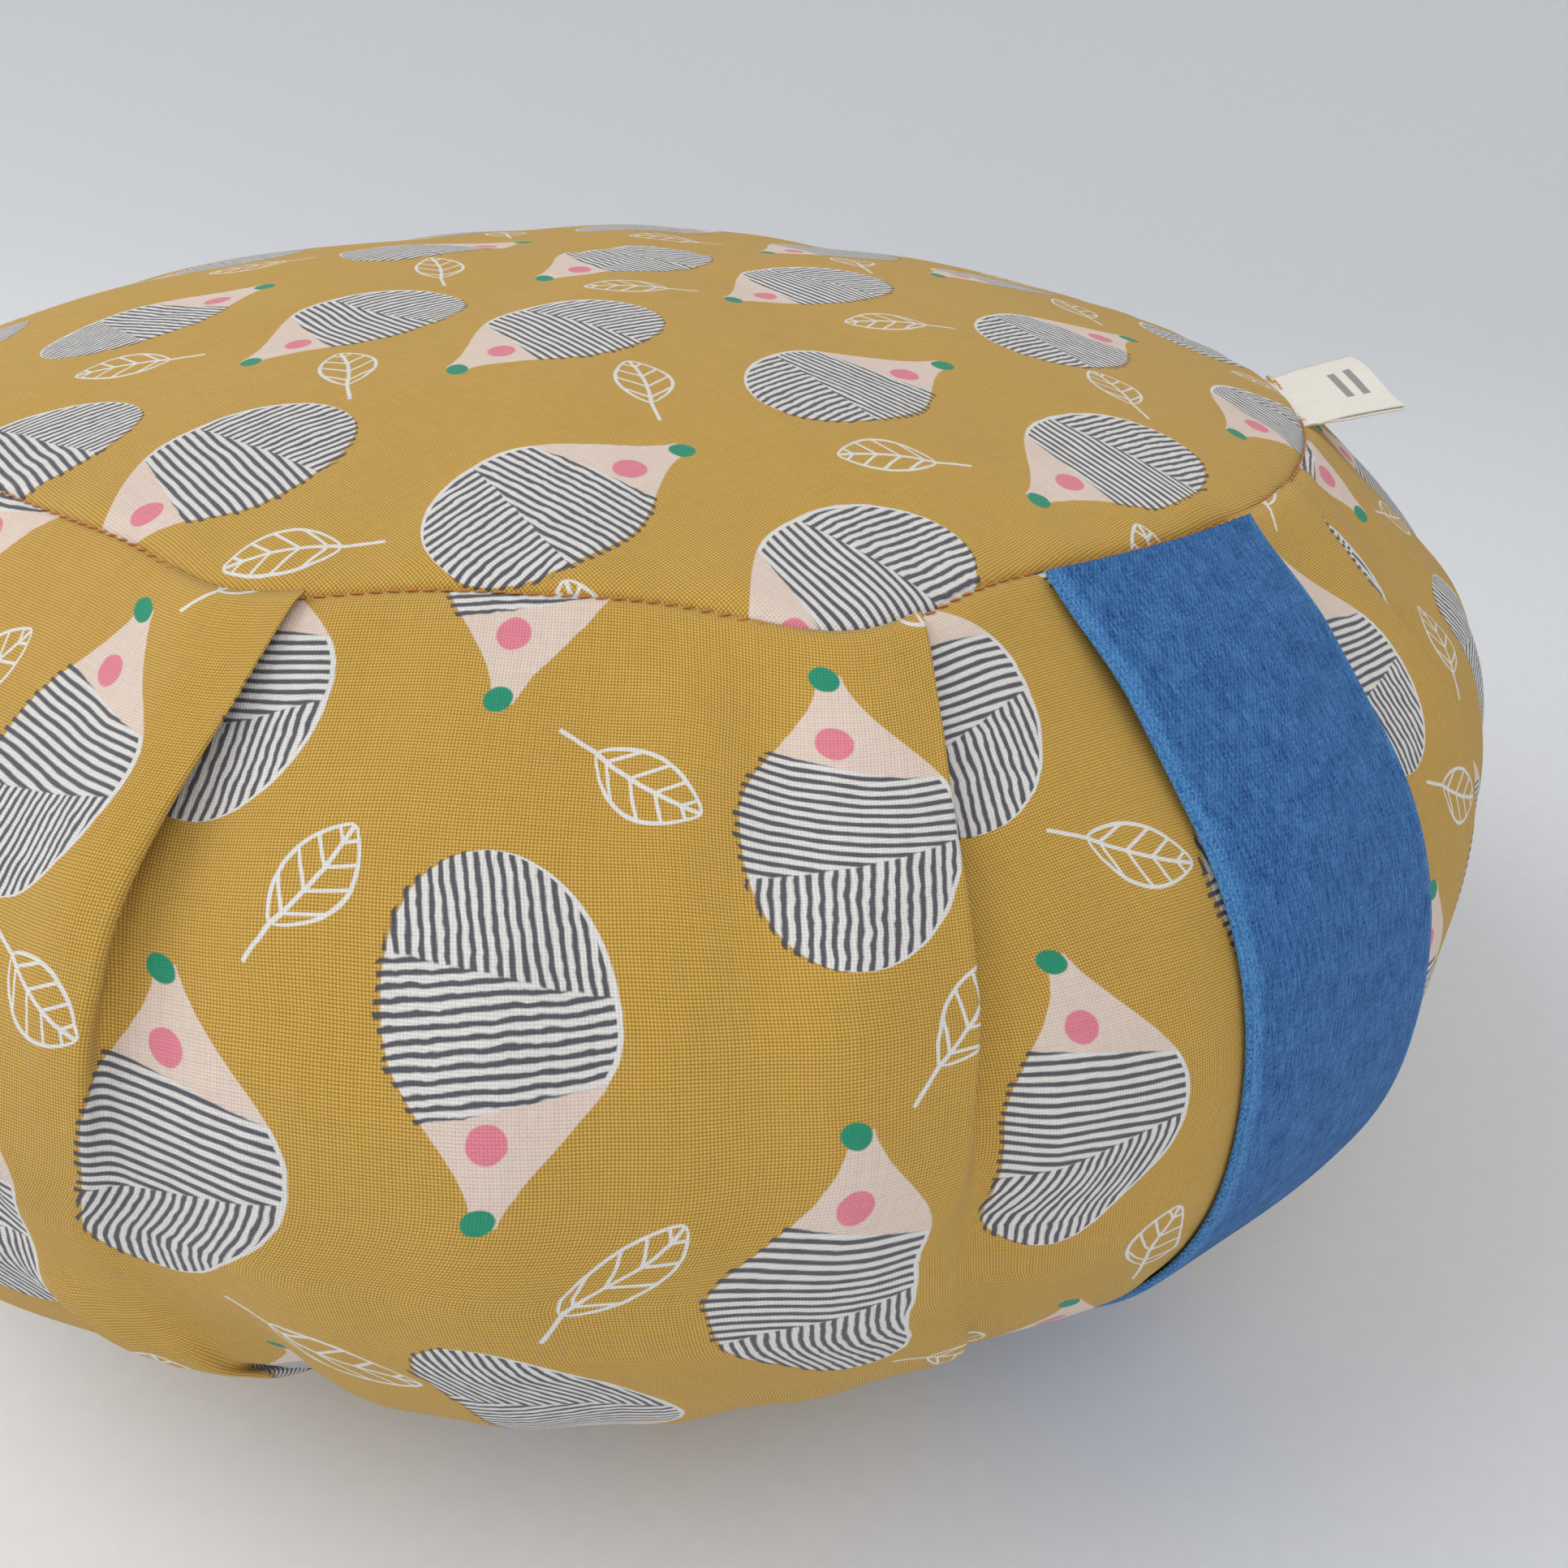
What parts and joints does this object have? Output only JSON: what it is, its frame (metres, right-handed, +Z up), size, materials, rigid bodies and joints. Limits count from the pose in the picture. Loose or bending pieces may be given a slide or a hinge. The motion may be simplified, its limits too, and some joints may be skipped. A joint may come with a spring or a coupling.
{
  "type": "round floor cushion",
  "caption": "Round pleated floor cushion with a crowned top, bulging pleated side, flat carry strap, folded label and a zip in the bottom seam.",
  "frame": {"origin": "centre of the flat base, on the surface the cushion rests on", "axes": "+Z up through the crown; the carry strap lies on the side at -Y, the zip at +Y"},
  "size_m": [0.3612, 0.3629, 0.172],
  "materials": {
    "printed_cotton": "plain-weave printed cotton, matte",
    "seam_thread": "polyester sewing thread, matte",
    "blue_denim": "lightweight denim, matte",
    "label_cotton": "printed cotton tape, matte",
    "zip_tape": "woven polyester tape, matte",
    "zip_coil": "nylon coil, satin",
    "zip_metal": "satin",
    "liner_cotton": "unbleached cotton, matte",
    "liner_thread": "cotton thread, matte",
    "hulls": "loose buckwheat hulls, matte"
  },
  "bodies": {
    "cushion": {"top_panel": "printed_cotton", "side_band": "printed_cotton", "bottom_panel": "printed_cotton", "top_seam_thread": "seam_thread", "bottom_seam_thread": "seam_thread", "zip_tape_upper": "zip_tape", "zip_tape_lower": "zip_tape", "zip_coil_upper": "zip_coil", "zip_coil_lower": "zip_coil", "zip_end_stops": "zip_metal", "liner_top": "liner_cotton", "liner_side": "liner_cotton", "liner_bottom": "liner_cotton", "liner_top_seam_thread": "liner_thread", "liner_bottom_seam_thread": "liner_thread", "liner_closing_stitches": "liner_thread", "hull_filling": "hulls"},
    "strap": {"handle_strap": "blue_denim"},
    "label": {"label_tab": "label_cotton"},
    "slider": {"zip_slider": "zip_metal"},
    "pull": {"zip_pull": "zip_metal"}
  },
  "joints": [
    {"name": "handle_pull", "type": "slide", "parent": "cushion", "child": "strap", "axis": [0, -1, 0], "range_m": [0, 0.02], "stiffness_N_per_m": 60},
    {"name": "label_flap", "type": "hinge", "parent": "cushion", "child": "label", "pos_m": [0.09668, -0.09016, 0.154], "axis": [0.682, 0.7314, 0], "range_deg": [-100, 45], "stiffness_Nm_per_rad": 0.002},
    {"name": "zip_travel", "type": "hinge", "parent": "cushion", "child": "slider", "pos_m": [0, 0, 0.013], "axis": [0, 0, 1], "range_deg": [0, 124]},
    {"name": "zip_pull_flip", "type": "hinge", "parent": "slider", "child": "pull", "pos_m": [0.11613, 0.06175, 0.01065], "axis": [-0.67, -0.3562, -0.6513], "range_deg": [0, 175]}
  ]
}
